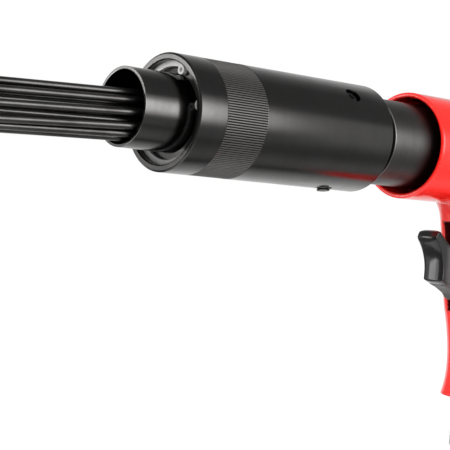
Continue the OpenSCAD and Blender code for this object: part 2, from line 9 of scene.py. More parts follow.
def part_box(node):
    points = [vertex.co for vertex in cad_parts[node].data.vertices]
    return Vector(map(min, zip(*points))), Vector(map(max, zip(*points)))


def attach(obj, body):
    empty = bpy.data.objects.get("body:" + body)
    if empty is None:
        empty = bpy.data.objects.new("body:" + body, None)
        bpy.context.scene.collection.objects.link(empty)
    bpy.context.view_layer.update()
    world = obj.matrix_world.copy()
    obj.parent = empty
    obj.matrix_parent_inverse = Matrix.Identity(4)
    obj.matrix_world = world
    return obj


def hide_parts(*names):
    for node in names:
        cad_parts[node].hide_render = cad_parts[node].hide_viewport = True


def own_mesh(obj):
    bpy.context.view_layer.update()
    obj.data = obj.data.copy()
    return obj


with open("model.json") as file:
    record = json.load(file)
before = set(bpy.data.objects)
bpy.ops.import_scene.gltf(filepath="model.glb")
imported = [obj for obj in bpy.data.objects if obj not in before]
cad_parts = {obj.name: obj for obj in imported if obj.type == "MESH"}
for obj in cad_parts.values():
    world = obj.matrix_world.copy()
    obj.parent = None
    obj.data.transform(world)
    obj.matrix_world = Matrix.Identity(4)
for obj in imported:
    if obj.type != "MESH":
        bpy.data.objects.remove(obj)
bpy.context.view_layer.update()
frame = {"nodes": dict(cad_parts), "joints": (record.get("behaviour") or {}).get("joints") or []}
MM = 0.001

# Places read from the frame, in millimetres


def ends(node, axis):
    """Lowest and highest place of a node along one axis, in millimetres."""
    low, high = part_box(node)
    return low[axis] / MM, high[axis] / MM


X, Y, Z = 0, 1, 2
HOUSE_REAR, HOUSE_FRONT = ends("needle_housing", X)
HOUSE_R = ends("needle_housing", Y)[1]
AXIS_Z = sum(ends("needle_housing", Z)) / 2
BARREL_REAR, BARREL_FRONT = ends("barrel", X)
BARREL_R = ends("barrel", Y)[1]
TUBE_REAR, TUBE_MOUTH = ends("front_tube", X)
FLANGE_R = ends("front_tube", Y)[1]
CLIP_REAR, CLIP_FRONT = ends("front_circlip", X)
CASTING_REAR, HOOD_FRONT = ends("body_casting", X)
HOOD_R = ends("body_casting", Z)[1] - AXIS_Z
GRIP_BASE = ends("body_casting", Z)[0]
SCREW_X = sum(ends("set_screws", X)) / 2
TRIGGER_REAR = ends("trigger", X)[0]
TRIGGER_W = 2 * ends("trigger", Y)[1]
PIN_X = sum(ends("trigger_pin", X)) / 2
PIN_Z = sum(ends("trigger_pin", Z)) / 2
PIN_REACH = ends("trigger_pin", Y)[1]
PIN_R = ends("trigger_pin", X)[1] - PIN_X
FITTING_TOP = ends("inlet_bushing", Z)[1]
WASHER_LOW, WASHER_HIGH = ends("inlet_washer", Z)
STEM_Z = sum(ends("throttle_stem", Z)) / 2

# Sizes of the visible forms, in millimetres

# Gap between pieces that sit on each other, and play of the circlip in its groove
SEAT_GAP = 0.03
CLIP_GAP = 0.05
# Front tube and circlip
TUBE_R = 15.85
TUBE_BORE = 14.65
FLANGE_LEN = 4.8
CLIP_GROOVE_R = 22.25
# Housing with its knurl band
HOUSE_BORE = 21
KNURL_START = 13.9
KNURL_LEN = 21.7
KNURL_FRONT = HOUSE_FRONT - KNURL_START
KNURL_REAR = KNURL_FRONT - KNURL_LEN
KNURL_TEETH = 144
KNURL_DEPTH = 0.45
KNURL_RUNOUT = 0.15
KNURL_R = HOUSE_R - 0.05
# Set screws: angle round the barrel axis in degrees, and how far the end stands out of the housing
SCREW_R = 3
SCREW_PLACES = [(45, -1.3), (160, -1.3), (276, 1.2)]
# Barrel; its neck ends at the shoulder, just behind the housing
BARREL_BORE = 12.5
ANVIL_BORE = 9
ANVIL_BORE_LEN = 36
SHOULDER = HOUSE_REAR - 6.6
SHOULDER_ROUND = 0.5
# Casting: exhaust hood and trigger slot
HOOD_WALL = 2.3
HOOD_SEAM = 40.5
EXHAUST_STEP = 27
SLOT_REAR = 8
SLOT_TOP = STEM_Z + 23
SLOT_BOTTOM = STEM_Z - 20
SLOT_W = TRIGGER_W + 0.8
# Trigger: x at which its polished front begins, and at which it is fully polished
POLISH = (34, 38)
# Inlet fitting: the plug that goes up into the grip
PLUG_R = 9.5
# Springs: how far the pieces that press them travel
ANVIL_TRAVEL = 5
TUBE_TRAVEL = 16
TRIGGER_TRAVEL = 5

# Mesh helpers

MERGE = 0.002
ALONG_X = (0, math.pi / 2, 0)


def only(piece):
    """Selects one piece and makes it the active one."""
    bpy.ops.object.select_all(action="DESELECT")
    piece.select_set(True)
    bpy.context.view_layer.objects.active = piece


def begin(name):
    """Names the primitive that was just added and opens it in edit mode with all selected."""
    piece = bpy.context.object
    piece.name = piece.data.name = name
    bpy.ops.object.mode_set(mode="EDIT")
    bpy.ops.mesh.select_mode(type="VERT")
    bpy.ops.mesh.select_all(action="SELECT")
    return piece


def open_edit(piece):
    """Opens a piece in edit mode with all selected."""
    only(piece)
    bpy.ops.object.mode_set(mode="EDIT")
    bpy.ops.mesh.select_all(action="SELECT")


def close_edit():
    """Leaves edit mode."""
    bpy.ops.object.mode_set(mode="OBJECT")


def tidy_mesh(piece):
    """Merges doubles and points all faces outwards."""
    open_edit(piece)
    bpy.ops.mesh.remove_doubles(threshold=MERGE * MM)
    bpy.ops.mesh.normals_make_consistent(inside=False)
    close_edit()
    return piece


def bake_place(piece, matrix=None):
    """Moves the piece's place into its mesh."""
    only(piece)
    if matrix is not None:
        piece.matrix_world = matrix @ piece.matrix_world
    bpy.ops.object.transform_apply(location=True, rotation=True, scale=True)
    return piece


def apply_modifier(piece, kind, **settings):
    """Adds a modifier, sets it up and applies it."""
    only(piece)
    modifier = piece.modifiers.new(kind.lower(), kind)
    for key, value in settings.items():
        setattr(modifier, key, value)
    bpy.ops.object.modifier_apply(modifier=modifier.name)


def combine(piece, tool, operation):
    """Boolean of two pieces; the tool is used up."""
    apply_modifier(piece, "BOOLEAN", object=tool, operation=operation, solver="EXACT")
    bpy.data.objects.remove(tool)


def soften(piece, width, segments, sharp):
    """Bevels the edges that turn by more than an angle in degrees."""
    apply_modifier(piece, "BEVEL", width=width * MM, segments=segments, limit_method="ANGLE",
                   angle_limit=math.radians(sharp))


def join(pieces):
    """Joins pieces into the first one."""
    only(pieces[0])
    for piece in pieces[1:]:
        piece.select_set(True)
    bpy.ops.object.join()
    return pieces[0]


def eased(corners, closed=True, steps=5):
    """Outline points; each corner (along, out, radius) is rounded by an arc of that radius."""
    points = []
    count = len(corners)
    for k, (along, out, radius) in enumerate(corners):
        here = Vector((along, out))
        if radius == 0 or (not closed and k in (0, count - 1)):
            points.append(here)
            continue
        back = (Vector(corners[k - 1][:2]) - here).normalized()
        ahead = (Vector(corners[(k + 1) % count][:2]) - here).normalized()
        half = back.angle(ahead) / 2
        centre = here + (back + ahead).normalized() * (radius / math.sin(half))
        first = here + back * (radius / math.tan(half)) - centre
        last = here + ahead * (radius / math.tan(half)) - centre
        turn = first.angle_signed(last)
        for s in range(steps + 1):
            share = turn * s / steps
            points.append(centre + Matrix.Rotation(-share, 2) @ first)
    return points


def edge_line(name, points, closed=False):
    """A new piece, open in edit mode: one line of edges, each point extruded from the last."""
    bpy.ops.object.select_all(action="DESELECT")
    bpy.ops.mesh.primitive_plane_add(size=MM, location=(0, 0, 0))
    piece = begin(name)
    bpy.ops.mesh.merge(type="CENTER")
    bpy.ops.transform.translate(value=points[0])
    for last, point in zip(points, points[1:]):
        bpy.ops.mesh.extrude_region_move(TRANSFORM_OT_translate={"value": point - last})
    bpy.ops.mesh.select_all(action="SELECT")
    if closed:
        bpy.ops.mesh.edge_face_add()
    return piece


# Lathe axes, each with its direction, the place of an outline point, and its centre: X is the barrel axis,
# Y the trigger pin's axis, Z the inlet fitting's axis
LATHE_AXES = {
    "X": ((1, 0, 0), lambda along, out: Vector((along, 0, AXIS_Z + out)) * MM, (0, 0, AXIS_Z * MM)),
    "Y": ((0, 1, 0), lambda along, out: Vector((PIN_X, along, PIN_Z + out)) * MM,
          (PIN_X * MM, 0, PIN_Z * MM)),
    "Z": ((0, 0, 1), lambda along, out: Vector((out, 0, along)) * MM, (0, 0, 0)),
}


def turned(name, corners, axis="X", steps=128, closed=True):
    """A piece turned on the lathe: the outline (along, out, radius) is spun round an axis."""
    direction, place, centre = LATHE_AXES[axis]
    points = [place(*p) for p in eased(corners, closed)]
    if closed:
        points.append(points[0].copy())
    piece = edge_line(name, points)
    bpy.ops.mesh.spin(steps=steps, angle=2 * math.pi, center=centre, axis=direction)
    close_edit()
    return tidy_mesh(piece)


def turned_tool(outline):
    """A cutter or blank turned about +Z at the origin, from (height, radius) points."""
    return turned("turned_tool", [(height, radius, 0) for height, radius in outline], "Z", 48, False)


def rod_tool(name, at, radius, depth, rotation=(0, 0, 0), vertices=64):
    """A plain cylinder, used as a cutter or as the start of a piece."""
    bpy.ops.object.select_all(action="DESELECT")
    bpy.ops.mesh.primitive_cylinder_add(vertices=vertices, radius=radius * MM, depth=depth * MM,
                                        location=Vector(at) * MM, rotation=rotation)
    tool = bpy.context.object
    tool.name = tool.data.name = name
    return bake_place(tool)


def choose_vertices(piece, test):
    """In edit mode, selects the vertices whose place passes the test."""
    bpy.ops.mesh.select_mode(type="VERT")
    bpy.ops.mesh.select_all(action="DESELECT")
    mesh = bmesh.from_edit_mesh(piece.data)
    for vertex in mesh.verts:
        vertex.select = test(vertex.co / MM)
    mesh.select_flush(True)
    bmesh.update_edit_mesh(piece.data)


def choose_faces(piece, test):
    """In edit mode, selects the faces whose normal passes the test."""
    bpy.ops.mesh.select_mode(type="FACE")
    bpy.ops.mesh.select_all(action="DESELECT")
    mesh = bmesh.from_edit_mesh(piece.data)
    for face in mesh.faces:
        face.select = test(face.normal)
    mesh.select_flush_mode()
    bmesh.update_edit_mesh(piece.data)


def inset_arc(angles, inward, outward):
    """In edit mode, insets the selected faces in small steps along an arc with the given two radii."""
    turns = [math.radians(angle) for angle in angles]
    for low, high in zip(turns, turns[1:]):
        bpy.ops.mesh.inset(thickness=inward * (math.cos(low) - math.cos(high)) * MM,
                           depth=outward * (math.sin(high) - math.sin(low)) * MM)


def hand_in(piece, body, node, finish, smooth=35):
    """Shades and paints a finished piece and ties it to the frame."""
    only(piece)
    bpy.ops.object.shade_smooth_by_angle(angle=math.radians(smooth))
    piece.data.materials.clear()
    piece.data.materials.append(finish)
    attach(piece, body)
    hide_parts(node)
    return piece


# Shader maths


class Value:
    """A socket of a paint; arithmetic on it adds Math nodes."""

    def __init__(self, paint, socket):
        self.paint = paint
        self.socket = socket

    def math(self, operation, first, second):
        """One Math node."""
        return self.paint.node("ShaderNodeMath", {"operation": operation}, {0: first, 1: second})

    def __add__(self, other):
        return self.math("ADD", self, other)

    __radd__ = __add__

    def __sub__(self, other):
        return self.math("SUBTRACT", self, other)

    def __rsub__(self, other):
        return self.math("SUBTRACT", other, self)

    def __mul__(self, other):
        return self.math("MULTIPLY", self, other)

    __rmul__ = __mul__

    def rise(self, low, high):
        """0 below low, 1 above high, smooth between."""
        return self.paint.node("ShaderNodeMapRange", {"interpolation_type": "SMOOTHSTEP"},
                               {"Value": self, "From Min": low, "From Max": high})

    def within(self, low, high, fade):
        """1 between low and high, with a smooth edge of the fade's width inside each end."""
        return self.rise(low, low + fade) * (1 - self.rise(high - fade, high))


class Paint:
    """A node material that reads Object coordinates."""

    def __init__(self, name, tree_owner=None):
        owner = tree_owner or bpy.data.materials.new(name)
        owner.use_nodes = True
        self.material = owner
        self.tree = owner.node_tree
        self.shader = self.tree.nodes.get("Principled BSDF")

    def node(self, kind, settings=None, inputs=None, out=0):
        """Adds one node: its settings first, then the values or links of its sockets."""
        made = self.tree.nodes.new(kind)
        for key, value in (settings or {}).items():
            if key == "stops":
                self.set_stops(made.color_ramp, value)
            else:
                setattr(made, key, value)
        for key, value in (inputs or {}).items():
            self.feed(made.inputs[key], value)
        return Value(self, made.outputs[out])

    def set_stops(self, ramp, stops):
        """Sets a ramp's stops, each a place and a grey level."""
        while len(ramp.elements) < len(stops):
            ramp.elements.new(1)
        for element, (place, level) in zip(ramp.elements, stops):
            element.position = place
            element.color = grey(level)

    def feed(self, socket, value):
        """Links a socket to a value, or sets it to a constant."""
        if isinstance(value, Value):
            self.tree.links.new(value.socket, socket)
        else:
            socket.default_value = value

    def place(self):
        """Object coordinates, in metres."""
        return self.node("ShaderNodeTexCoord", out="Object")

    def along(self, axis):
        """One Object coordinate in millimetres."""
        return self.node("ShaderNodeSeparateXYZ", None, {"Vector": self.place()}, out=axis) * (1 / MM)

    def noise(self, scale, detail=2.0, roughness=0.5, stretch=(1, 1, 1)):
        """A noise pattern, finer along an axis with a larger stretch."""
        at = self.node("ShaderNodeMapping", None, {"Vector": self.place(), "Scale": stretch})
        return self.node("ShaderNodeTexNoise", None, {
            "Vector": at, "Scale": scale, "Detail": detail, "Roughness": roughness})

    def blend(self, share, low, high):
        """A colour between two colours."""
        return self.node("ShaderNodeMix", {"data_type": "RGBA"}, {
            "Factor": share, "A": low, "B": high}, out="Result")

    def painted_shade_below(self, colour):
        """A colour with painted shade: darker from a little above the barrel axis down."""
        below = 1 - self.along("Z").rise(AXIS_Z - 2, AXIS_Z + 18)
        return self.node("ShaderNodeMix", {"data_type": "RGBA", "blend_type": "MULTIPLY"}, {
            "Factor": below, "A": colour, "B": grey(0.32)}, out="Result")

    def bump(self, height, strength, distance):
        """A normal from a height pattern; the distance is in millimetres."""
        return self.node("ShaderNodeBump", None, {
            "Height": height, "Strength": strength, "Distance": distance * MM})

    def set(self, **sockets):
        """Feeds the shader's sockets, with _ for each space in a socket's name, and gives the material."""
        for key, value in sockets.items():
            self.feed(self.shader.inputs[key.replace("_", " ")], value)
        return self.material


def grey(level, warm=0.0):
    """A grey colour, a little warmer where asked."""
    return (level * (1 + warm), level, level * (1 - warm), 1)


# Finishes


def red_enamel():
    """Glossy red enamel on the casting: faint orange peel, slow shifts of tone, and painted shade, with
    little coat, on the walls inside the trigger slot.
    """
    paint = Paint("red_enamel")
    # The last colour is painted shade for the walls inside the trigger slot
    bright, deep, slot_shade_colour = (0.90, 0.016, 0.010, 1), (0.84, 0.013, 0.008, 1), (0.06, 0.003, 0.003, 1)
    tone = paint.noise(22, 3).rise(0.35, 0.7)
    peel = paint.noise(420, 2)
    smudge = paint.noise(60, 4, 0.6).rise(0.45, 0.75)
    x, y, z = (paint.along(axis) for axis in "XYZ")
    # Mask for the painted shade on the walls inside the trigger slot
    half, side_fade, end_fade = SLOT_W / 2, 0.4, 0.8
    across = 1 - (y * y).rise(half**2, (half + side_fade)**2)
    upright = z.within(SLOT_BOTTOM - end_fade, SLOT_TOP + end_fade, end_fade)
    slot_shade_mask = x.rise(SLOT_REAR - 2, SLOT_REAR - 1) * across * upright
    return paint.set(
        Base_Color=paint.blend(slot_shade_mask, paint.blend(tone, bright, deep), slot_shade_colour),
        Roughness=0.27 + 0.08 * smudge,
        Normal=paint.bump(peel, 0.05, 0.1),
        Specular_IOR_Level=0.35,
        Coat_Weight=(1.0 - 0.15 * smudge) * (1 - 0.8 * slot_shade_mask),
        Coat_Roughness=0.05)


def black_oxide(name, base=0.115, rough=0.13, faces=(), knurl_band=None, hood_shade=None):
    """Blackened turned steel: ring-shaped tool marks and oily patches. It may have pale machined faces
    (first x, last x, level) with painted shade from a little above the barrel axis down, a knurl band (rear
    x, front x, skin radius) with worn crests, painted shade in its valleys and in the holes and bore under
    the skin, and painted shade over the part inside the exhaust hood, which begins at one x and is full at
    another, further back."""
    paint = Paint(name)
    marks = paint.noise(1, 3, 0.6, (5200, 60, 60))
    patches = paint.noise(90, 4, 0.6).rise(0.35, 0.75)
    bands = paint.noise(1, 3, 0.6, (420, 12, 12)).rise(0.3, 0.7)
    x = paint.along("X")
    colour = paint.blend(0.7 * patches + 0.3 * bands, grey(base * 1.06, 0.02), grey(base * 0.84, 0.02))
    roughness = rough + 0.08 * marks + 0.05 * patches
    if hood_shade:
        shade_begins, shade_full = hood_shade
        # Painted shade: dark behind one x and fading out by another further forward, over the part inside
        # the exhaust hood
        colour = paint.blend(x.rise(shade_full, shade_begins), grey(base * 0.12, 0.02), colour)
    if knurl_band:
        rear, front, skin = knurl_band
        y = paint.along("Y")
        z = paint.along("Z") - AXIS_Z
        reach = y * y + z * z

        def beyond(low, high):
            """0 deeper than low under the skin, 1 above high."""
            return reach.rise((skin - low)**2, (skin - high)**2)

        rubbed = x.within(rear, front, 0.3)
        # Painted shade: dark in the holes and bore under the skin, and darker still in the knurl's valleys
        recess = (1 - beyond(0.6, 0.35)) * beyond(3.6, 3.3)
        valley_shade = rubbed * (1 - beyond(0.36, 0.08))
        colour = paint.blend(rubbed, colour, grey(base * 1.75, 0.03))
        colour = paint.blend(recess, colour, grey(base * 0.25, 0.02))
        colour = paint.blend(valley_shade, colour, grey(base * 0.06, 0.02))
        roughness = roughness + 0.30 * rubbed
    fade = 0.08
    # Pale machined faces, with painted shade from a little above the barrel axis down
    for low, high, level in faces:
        face = x.within(low - fade, high + fade, fade)
        colour = paint.blend(face, colour, paint.painted_shade_below(grey(level, 0.02)))
    return paint.set(
        Base_Color=colour,
        Metallic=1.0,
        Roughness=roughness,
        Normal=paint.bump(marks, 0.10, 0.02))


def needle_wire():
    """Drawn steel wire: streaks along the needle, dark scale in places."""
    paint = Paint("needle_wire")
    streaks = paint.noise(1, 3, 0.6, (30, 2600, 2600))
    scale = paint.noise(140, 4, 0.6, (0.4, 1, 1)).rise(0.4, 0.7)
    return paint.set(
        Base_Color=paint.blend(scale, grey(0.125, 0.02), grey(0.075, 0.03)),
        Metallic=1.0,
        Roughness=0.26 + 0.10 * streaks,
        Normal=paint.bump(streaks, 0.04, 0.02))


def plain_metal(name, base, rough, grain, metal=1.0, shade_below=False):
    """Bare or plated metal with fine grain; where asked, with painted shade from a little above the barrel
    axis down.
    """
    paint = Paint(name)
    marks = paint.noise(1, 3, 0.6, grain)
    cloud = paint.noise(150, 3).rise(0.3, 0.7)
    colour = paint.blend(cloud, base, tuple(0.82 * c for c in base[:3]) + (1,))
    return paint.set(
        Base_Color=paint.painted_shade_below(colour) if shade_below else colour,
        Metallic=metal,
        Roughness=rough + 0.12 * marks,
        Normal=paint.bump(marks, 0.08, 0.02))


def moulded_black():
    """Black moulding: faint grain, slow clouds and a glossy, finger-polished front."""
    paint = Paint("moulded_black")
    grain = paint.noise(2600, 2)
    cloud = paint.noise(120, 3).rise(0.35, 0.7)
    polish = paint.along("X").rise(*POLISH)
    side = paint.blend(cloud, grey(0.056), grey(0.068))
    return paint.set(
        Base_Color=paint.blend(polish, side, grey(0.004)),
        Specular_IOR_Level=0.3,
        Roughness=0.42 - 0.20 * polish + 0.06 * cloud,
        Normal=paint.bump(grain, 0.06, 0.03),
        Coat_Weight=0.25 + 0.75 * polish,
        Coat_Roughness=0.07)


def soft_rubber():
    """Matt black rubber with a coarse grain."""
    paint = Paint("soft_rubber")
    grain = paint.noise(1800, 3)
    return paint.set(
        Base_Color=paint.blend(grain.rise(0.3, 0.7), grey(0.02), grey(0.035)),
        Roughness=0.6 + 0.15 * grain,
        Normal=paint.bump(grain, 0.15, 0.03))


# Grain directions of the plain metals
TURNED_GRAIN = (4000, 60, 60)
UPRIGHT_GRAIN = (60, 60, 4000)
EVEN_GRAIN = (900, 900, 900)

BLACK_STEEL = black_oxide("black_steel")
SCREW_STEEL = black_oxide("screw_steel", 0.16, 0.22)
# The barrel steel has painted shade over its neck inside the exhaust hood, fading out a little in front of
# it
BARREL_STEEL = black_oxide("barrel_steel", 0.135, 0.31, faces=[(SHOULDER - SHOULDER_ROUND, SHOULDER, 0.6)],
                           hood_shade=(HOOD_FRONT + 11, HOOD_FRONT + 1))
HOUSING_STEEL = black_oxide("housing_steel", faces=[(HOUSE_FRONT - 0.05, HOUSE_FRONT + 1, 0.46)],
                            knurl_band=(KNURL_REAR, KNURL_FRONT, HOUSE_R))
TUBE_STEEL = black_oxide("tube_steel", faces=[(TUBE_MOUTH - 0.2, TUBE_MOUTH + 1, 0.62)])
ENAMEL = red_enamel()
NEEDLE_STEEL = needle_wire()
# The ring steel has painted shade from a little above the barrel axis down
RING_STEEL = plain_metal("ring_steel", grey(0.86, 0.01), 0.40, EVEN_GRAIN, 0.2, True)
BRIGHT_STEEL = plain_metal("bright_steel", grey(0.58), 0.22, TURNED_GRAIN)
SPRING_STEEL = plain_metal("spring_steel", grey(0.22), 0.28, EVEN_GRAIN)
PLATED_STEEL = plain_metal("plated_steel", grey(0.55, 0.02), 0.40, UPRIGHT_GRAIN)
BRASS = plain_metal("brass", (0.72, 0.50, 0.20, 1), 0.24, TURNED_GRAIN)
PLASTIC = moulded_black()
RUBBER = soft_rubber()

# Inner pieces that keep their plain solid and only get a finish
NODE_FINISH = {
    "valve_seat": BRIGHT_STEEL, "valve_disc": BRIGHT_STEEL, "valve_cap": BRIGHT_STEEL,
    "valve_pins": BRIGHT_STEEL, "piston": BRIGHT_STEEL, "anvil": BRIGHT_STEEL,
    "needle_holder": BLACK_STEEL, "throttle_bushing": BRASS, "throttle_stem": BRIGHT_STEEL,
    "stem_seal": RUBBER, "throttle_ball": BRIGHT_STEEL, "inlet_screen": BRASS}
for node, finish in NODE_FINISH.items():
    for material_slot in frame["nodes"][node].material_slots:
        material_slot.material = finish

# Red casting: body, exhaust hood and grip

# Grip stations from top to bottom: depth below the barrel axis, front x, back x, half width
GRIP_STATIONS = [
    (6, 42, -21, 15.5), (18, 38.5, -20.5, 15.3), (28, 30.2, -20, 15.2), (36, 28.0, -19.8, 15.0),
    (55, 24.8, -21.3, 14.8), (74, 21.6, -23.5, 14.8), (84, 18.4, -24.6, 14.9), (95, 16.1, -26.3, 15.0),
    (106, 15.6, -28, 15.2), (113, 16.9, -28.9, 15.4), (119.5, 19.5, -29.0, 15.5)]
GRIP_STEPS = 36
FOOT_ROUND = 1.3
BODY_ROUND = 13
LIP_ROUND = 1.1
SKIN_VOXEL = 0.7
SKIN_SMOOTHING = 9


def station(depth):
    """Front x, back x and half width of the grip at a depth, on a smooth curve through the stations."""
    nudge = 0.001
    last = len(GRIP_STATIONS) - 1
    depth = min(max(depth, GRIP_STATIONS[0][0] + nudge), GRIP_STATIONS[last][0] - nudge)
    k = max(i for i in range(last) if GRIP_STATIONS[i][0] <= depth)
    before = GRIP_STATIONS[max(k - 1, 0)]
    low, high = GRIP_STATIONS[k], GRIP_STATIONS[k + 1]
    after = GRIP_STATIONS[min(k + 2, last)]
    span = high[0] - low[0]
    t = (depth - low[0]) / span
    sizes = []
    for c in (1, 2, 3):
        lead_in = (high[c] - before[c]) / (high[0] - before[0]) * span
        lead_out = (after[c] - low[c]) / (after[0] - low[0]) * span
        sizes.append((2 * t**3 - 3 * t**2 + 1) * low[c] + (t**3 - 2 * t**2 + t) * lead_in
                     + (3 * t**2 - 2 * t**3) * high[c] + (t**3 - t**2) * lead_out)
    return sizes


def grip_form():
    """The grip: a round-ended section, extruded up station by station, with a rounded foot."""
    top, foot = GRIP_STATIONS[0][0], GRIP_STATIONS[-1][0]
    front, back, half = station(foot)
    start = 1
    bpy.ops.object.select_all(action="DESELECT")
    bpy.ops.mesh.primitive_cube_add(size=1, location=(0, 0, 0))
    grip = begin("grip_form")
    bpy.ops.transform.resize(value=((front - back) * MM, 2 * half * MM, start * MM))
    bpy.ops.transform.translate(value=((front + back) / 2 * MM, 0, (GRIP_BASE + start / 2) * MM))
    bpy.ops.mesh.select_mode(type="EDGE")
    bpy.ops.mesh.select_all(action="DESELECT")
    mesh = bmesh.from_edit_mesh(grip.data)
    for edge in mesh.edges:
        low, high = (v.co.z for v in edge.verts)
        edge.select = abs(low - high) > start / 2 * MM
    bmesh.update_edit_mesh(grip.data)
    bpy.ops.mesh.bevel(offset=(half - 0.2) * MM, segments=14, affect="EDGES")
    choose_faces(grip, lambda normal: normal.z > 0.9)
    height = GRIP_BASE + start
    for k in range(1, GRIP_STEPS + 1):
        level = foot + (top - foot) * k / GRIP_STEPS
        new_front, new_back, new_half = station(level)
        bpy.ops.mesh.extrude_region_move(TRANSFORM_OT_translate={
            "value": (0, 0, (AXIS_Z - level - height) * MM)})
        height = AXIS_Z - level
        middle = ((front + back) / 2 * MM, 0, height * MM)
        bpy.ops.transform.resize(
            value=((new_front - new_back) / (front - back), new_half / half, 1), center_override=middle)
        bpy.ops.transform.translate(value=((new_front + new_back - front - back) / 2 * MM, 0, 0))
        front, back, half = new_front, new_back, new_half
    choose_faces(grip, lambda normal: normal.z < -0.9)
    bpy.ops.mesh.bevel(offset=FOOT_ROUND * MM, segments=4, affect="EDGES")
    close_edit()
    return tidy_mesh(grip)


def exhaust_hood():
    """Thin round hood with a fully rounded lip, open to the front."""
    inner = HOOD_R - HOOD_WALL - SEAT_GAP
    return turned("exhaust_hood", [
        (HOOD_SEAM, inner, 0), (HOOD_SEAM, HOOD_R, 0), (HOOD_FRONT, HOOD_R, LIP_ROUND),
        (HOOD_FRONT, inner, LIP_ROUND)], steps=160)


def slot_tool():
    """The box that cuts the trigger slot into the grip's front."""
    reach = 60
    bpy.ops.object.select_all(action="DESELECT")
    middle = Vector((SLOT_REAR + reach / 2, 0, (SLOT_TOP + SLOT_BOTTOM) / 2))
    bpy.ops.mesh.primitive_cube_add(size=1, location=middle * MM)
    slot = bpy.context.object
    slot.scale = Vector((reach, SLOT_W, SLOT_TOP - SLOT_BOTTOM)) * MM
    return bake_place(slot)


def red_casting():
    """Body and grip fused, hollowed and skinned over, so that every edge has a cast radius; the hood
    laps over the body's front end and joins on."""
    skin = HOOD_R - 0.02
    lap_r = skin - 0.6
    body_end = HOOD_SEAM + 5
    body = turned("red_casting", [
        (CASTING_REAR, 0, 0), (CASTING_REAR, skin, BODY_ROUND), (HOOD_SEAM + 2, skin, 0),
        (HOOD_SEAM + 3, lap_r, 0), (body_end, lap_r, 0), (body_end, 0, 0)], closed=False)
    combine(body, grip_form(), "UNION")
    bore_end = HOOD_SEAM + 10
    combine(body, rod_tool("hood_bore", ((EXHAUST_STEP + bore_end) / 2, 0, AXIS_Z), HOOD_R - HOOD_WALL,
                           bore_end - EXHAUST_STEP, ALONG_X, 160), "DIFFERENCE")
    seat_end = 40
    combine(body, rod_tool("seat", ((BARREL_REAR + seat_end) / 2, 0, AXIS_Z), BARREL_R + SEAT_GAP,
                           seat_end - BARREL_REAR, ALONG_X, 128), "DIFFERENCE")
    combine(body, slot_tool(), "DIFFERENCE")
    inlet_depth = 12
    combine(body, rod_tool("inlet", (0, 0, GRIP_BASE), PLUG_R + SEAT_GAP, 2 * inlet_depth), "DIFFERENCE")
    apply_modifier(body, "REMESH", mode="VOXEL", voxel_size=SKIN_VOXEL * MM, use_smooth_shade=True)
    apply_modifier(body, "SMOOTH", factor=0.5, iterations=SKIN_SMOOTHING)
    join([body, exhaust_hood()])
    return hand_in(body, "tool_body", "body_casting", ENAMEL, 60)


# Black steel pieces round the barrel axis


def barrel_sleeve():
    """Barrel whose neck ends in a rounded shoulder and a groove just behind the housing, with a second
    groove for the set screws' ends."""
    neck_groove = BARREL_R - 2.5
    neck_groove_front = HOUSE_REAR + 0.3
    screw_groove = BARREL_R - 2.2
    floor_half, mouth_half = 3, 4
    anvil_bore_rear = BARREL_FRONT - ANVIL_BORE_LEN
    sleeve = turned("barrel_sleeve", [
        (BARREL_REAR, BARREL_BORE, 0.3), (BARREL_REAR, BARREL_R, 1), (SHOULDER, BARREL_R, SHOULDER_ROUND),
        (SHOULDER + 0.3, neck_groove, 0.1), (neck_groove_front, neck_groove, 0),
        (neck_groove_front, BARREL_R, 0), (SCREW_X - mouth_half, BARREL_R, 0),
        (SCREW_X - floor_half, screw_groove, 0), (SCREW_X + floor_half, screw_groove, 0),
        (SCREW_X + mouth_half, BARREL_R, 0), (BARREL_FRONT, BARREL_R, 0.8), (BARREL_FRONT, ANVIL_BORE, 0.3),
        (anvil_bore_rear, ANVIL_BORE, 0), (anvil_bore_rear, BARREL_BORE, 0)])
    return hand_in(sleeve, "tool_body", "barrel", BARREL_STEEL)


def knurl(sleeve, rear, front):
    """Presses lines of points inwards between rear and front, four lines to a tooth: rounded crests and
    sharp valleys."""
    open_edit(sleeve)
    pitch = math.pi / KNURL_TEETH / 2
    for lines, depth in (((1, 3), 0.15 * KNURL_DEPTH), ((2,), KNURL_DEPTH)):
        def pressed(at):
            """Tells whether a point lies on the crest radius, in the band and on one of the lines."""
            out = math.hypot(at.y, at.z - AXIS_Z)
            line = round(math.atan2(at.z - AXIS_Z, at.y) / pitch)
            return rear - 0.01 < at.x < front + 0.01 and abs(out - KNURL_R) < 0.02 and line % 4 in lines

        choose_vertices(sleeve, pressed)
        share = (KNURL_R - depth) / KNURL_R
        bpy.ops.transform.resize(value=(1, share, share), center_override=(0, 0, AXIS_Z * MM))
    close_edit()


def at_screw(angle):
    """Place and turn that bring a screw, upright at the origin, to its angle round the barrel axis."""
    place = Matrix.Translation(Vector((SCREW_X, 0, AXIS_Z)) * MM)
    return place @ Matrix.Rotation(math.radians(angle - 90), 4, "X")


